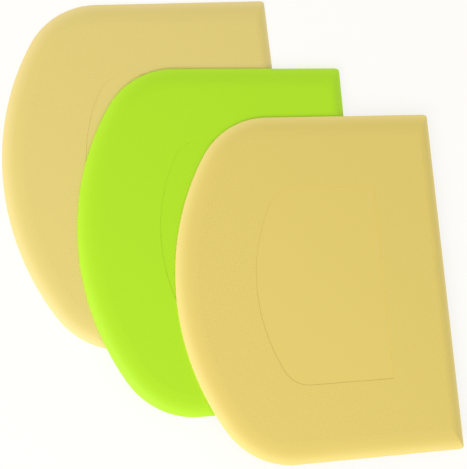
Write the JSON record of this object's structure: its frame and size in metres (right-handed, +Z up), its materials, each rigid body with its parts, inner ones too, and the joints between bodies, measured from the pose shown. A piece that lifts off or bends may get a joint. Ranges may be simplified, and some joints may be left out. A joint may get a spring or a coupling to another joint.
{
  "type": "bowl scraper set",
  "caption": "Set of flexible D-shaped plastic bowl scrapers with thin tapered rims and a smooth central panel, fanned face to face in a flat stack.",
  "frame": {"origin": "middle of the flat underside of the bottom scraper: halfway along its straight edge and halfway from that edge to the crest of its curve, on the surface that it lies on", "axes": "+X from the curve of the bottom scraper towards its straight edge, +Y along that straight edge, +Z up through the stack"},
  "size_m": [0.153, 0.166, 0.0066],
  "materials": {
    "pale_yellow_plastic": "moulded, fine grain on the field, smooth on the panel and the taper",
    "lime_green_plastic": "moulded, fine grain on the field, smooth on the panel and the taper",
    "warm_yellow_plastic": "moulded, fine grain on the field, smooth on the panel and the taper"
  },
  "bodies": {
    "bottom": {"bottom_scraper": "pale_yellow_plastic"},
    "middle": {"middle_scraper": "lime_green_plastic"},
    "top": {"top_scraper": "warm_yellow_plastic"}
  },
  "joints": [
    {"name": "middle_lift", "type": "slide", "parent": "bottom", "child": "middle", "axis": [0, 0, 1], "range_m": [0, 0.06]},
    {"name": "top_lift", "type": "slide", "parent": "middle", "child": "top", "axis": [0, 0, 1], "range_m": [0, 0.06]}
  ]
}
